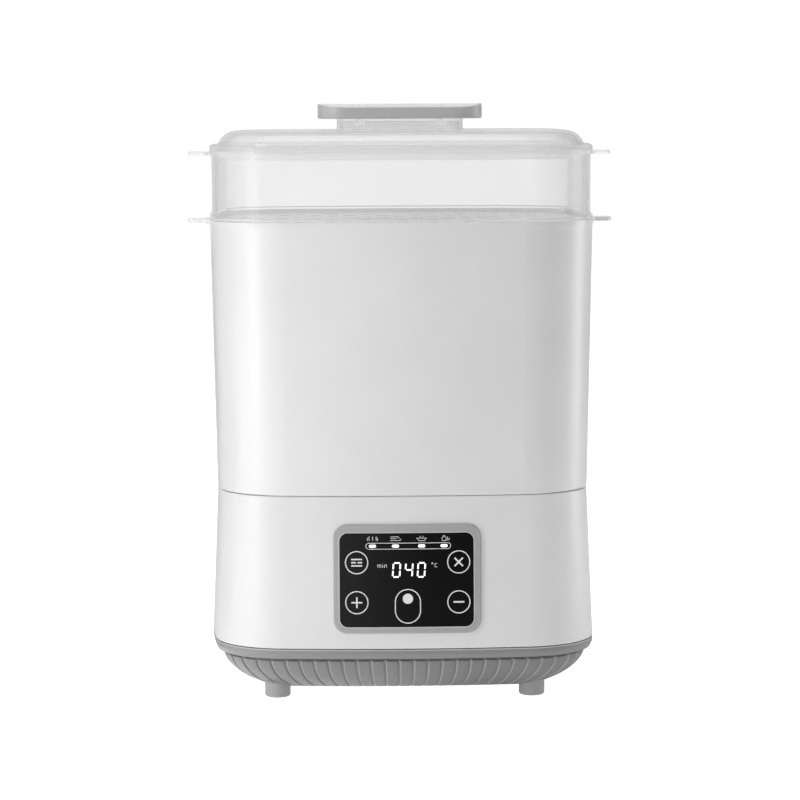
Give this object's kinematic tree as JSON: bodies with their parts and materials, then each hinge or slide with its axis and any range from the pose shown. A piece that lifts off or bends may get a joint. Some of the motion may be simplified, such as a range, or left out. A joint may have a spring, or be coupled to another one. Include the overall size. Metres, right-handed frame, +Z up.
{
  "type": "steam steriliser and dryer",
  "caption": "Benchtop electric steam steriliser and warm-air dryer: base with touch panel, stacked white chamber, translucent tray and domed lid with a bar handle.",
  "frame": {"origin": "on the table, under the middle of the base", "axes": "+Z up, the control panel faces -Y, +X to the right of someone who looks at the panel"},
  "size_m": [0.2756, 0.2495, 0.3734],
  "materials": {
    "white_plastic": "satin gloss",
    "rack_plastic": "satin",
    "clear_plastic": "translucent, satin gloss",
    "handle_grey": "fine matte",
    "inlay_white": "satin gloss",
    "steel": "zinc plated",
    "base_grey": "fine matte",
    "foot_rubber": "matte",
    "bezel_grey": "satin",
    "panel_black": "polished, printed black behind",
    "circuit_board": "solder mask",
    "black_plastic": "matte",
    "lamp_lens": "clear lens",
    "brass": "plated",
    "plate_metal": "brushed",
    "silicone": "matte",
    "aluminium": "milled",
    "heat_plastic": "matte",
    "filter_foam": "felted fibre",
    "relay_blue": "gloss",
    "winding_yellow": "tape wrapped",
    "wire_brown": "pvc",
    "wire_white": "silicone sleeve"
  },
  "bodies": {
    "base": {"base_shell": "white_plastic", "air_outlet_cap": "white_plastic", "base_bottom_cover": "base_grey", "feet": "foot_rubber", "cover_screws": "steel", "panel_bezel": "bezel_grey", "panel_glass": "panel_black", "display_board": "circuit_board", "digit_display": "black_plastic", "indicator_lamps": "lamp_lens", "touch_key_springs": "brass", "board_screws": "steel", "heating_plate": "plate_metal", "plate_seal": "silicone", "heating_element": "steel", "heater_clamp": "aluminium", "temperature_sensor": "brass", "thermal_cutout": "black_plastic", "heater_clamp_screws": "steel", "fan_housing": "black_plastic", "fan_motor": "steel", "air_heater": "aluminium", "air_duct": "heat_plastic", "power_inlet": "black_plastic", "inlet_pins": "brass", "power_board": "circuit_board", "power_relay": "relay_blue", "power_transformer": "winding_yellow", "board_capacitors": "black_plastic", "mains_wires": "wire_brown", "heater_wires": "wire_white", "panel_wires": "wire_white"},
    "chamber": {"chamber_shell": "white_plastic"},
    "rack": {"bottle_rack": "rack_plastic"},
    "tray": {"tray_shell": "clear_plastic"},
    "lid": {"lid_shell": "clear_plastic", "lid_handle_grip": "handle_grey", "lid_handle_inlay": "inlay_white", "lid_handle_screws": "inlay_white"},
    "fan": {"fan_impeller": "black_plastic", "fan_shaft": "steel"},
    "filter": {"filter_cover": "white_plastic", "air_filter": "filter_foam"}
  },
  "joints": [
    {"name": "chamber_lift", "type": "slide", "parent": "base", "child": "chamber", "axis": [0, 0, 1], "range_m": [0, 0.06]},
    {"name": "rack_lift", "type": "slide", "parent": "chamber", "child": "rack", "axis": [0, 0, 1], "range_m": [0, 0.05]},
    {"name": "tray_lift", "type": "slide", "parent": "chamber", "child": "tray", "axis": [0, 0, 1], "range_m": [0, 0.06]},
    {"name": "lid_lift", "type": "slide", "parent": "tray", "child": "lid", "axis": [0, 0, 1], "range_m": [0, 0.08]},
    {"name": "fan_spin", "type": "hinge", "parent": "base", "child": "fan", "pos_m": [0, 0.09, 0.066], "axis": [0, 1, 0], "continuous": true},
    {"name": "filter_pull", "type": "slide", "parent": "base", "child": "filter", "axis": [0, 1, 0], "range_m": [0, 0.03]}
  ]
}
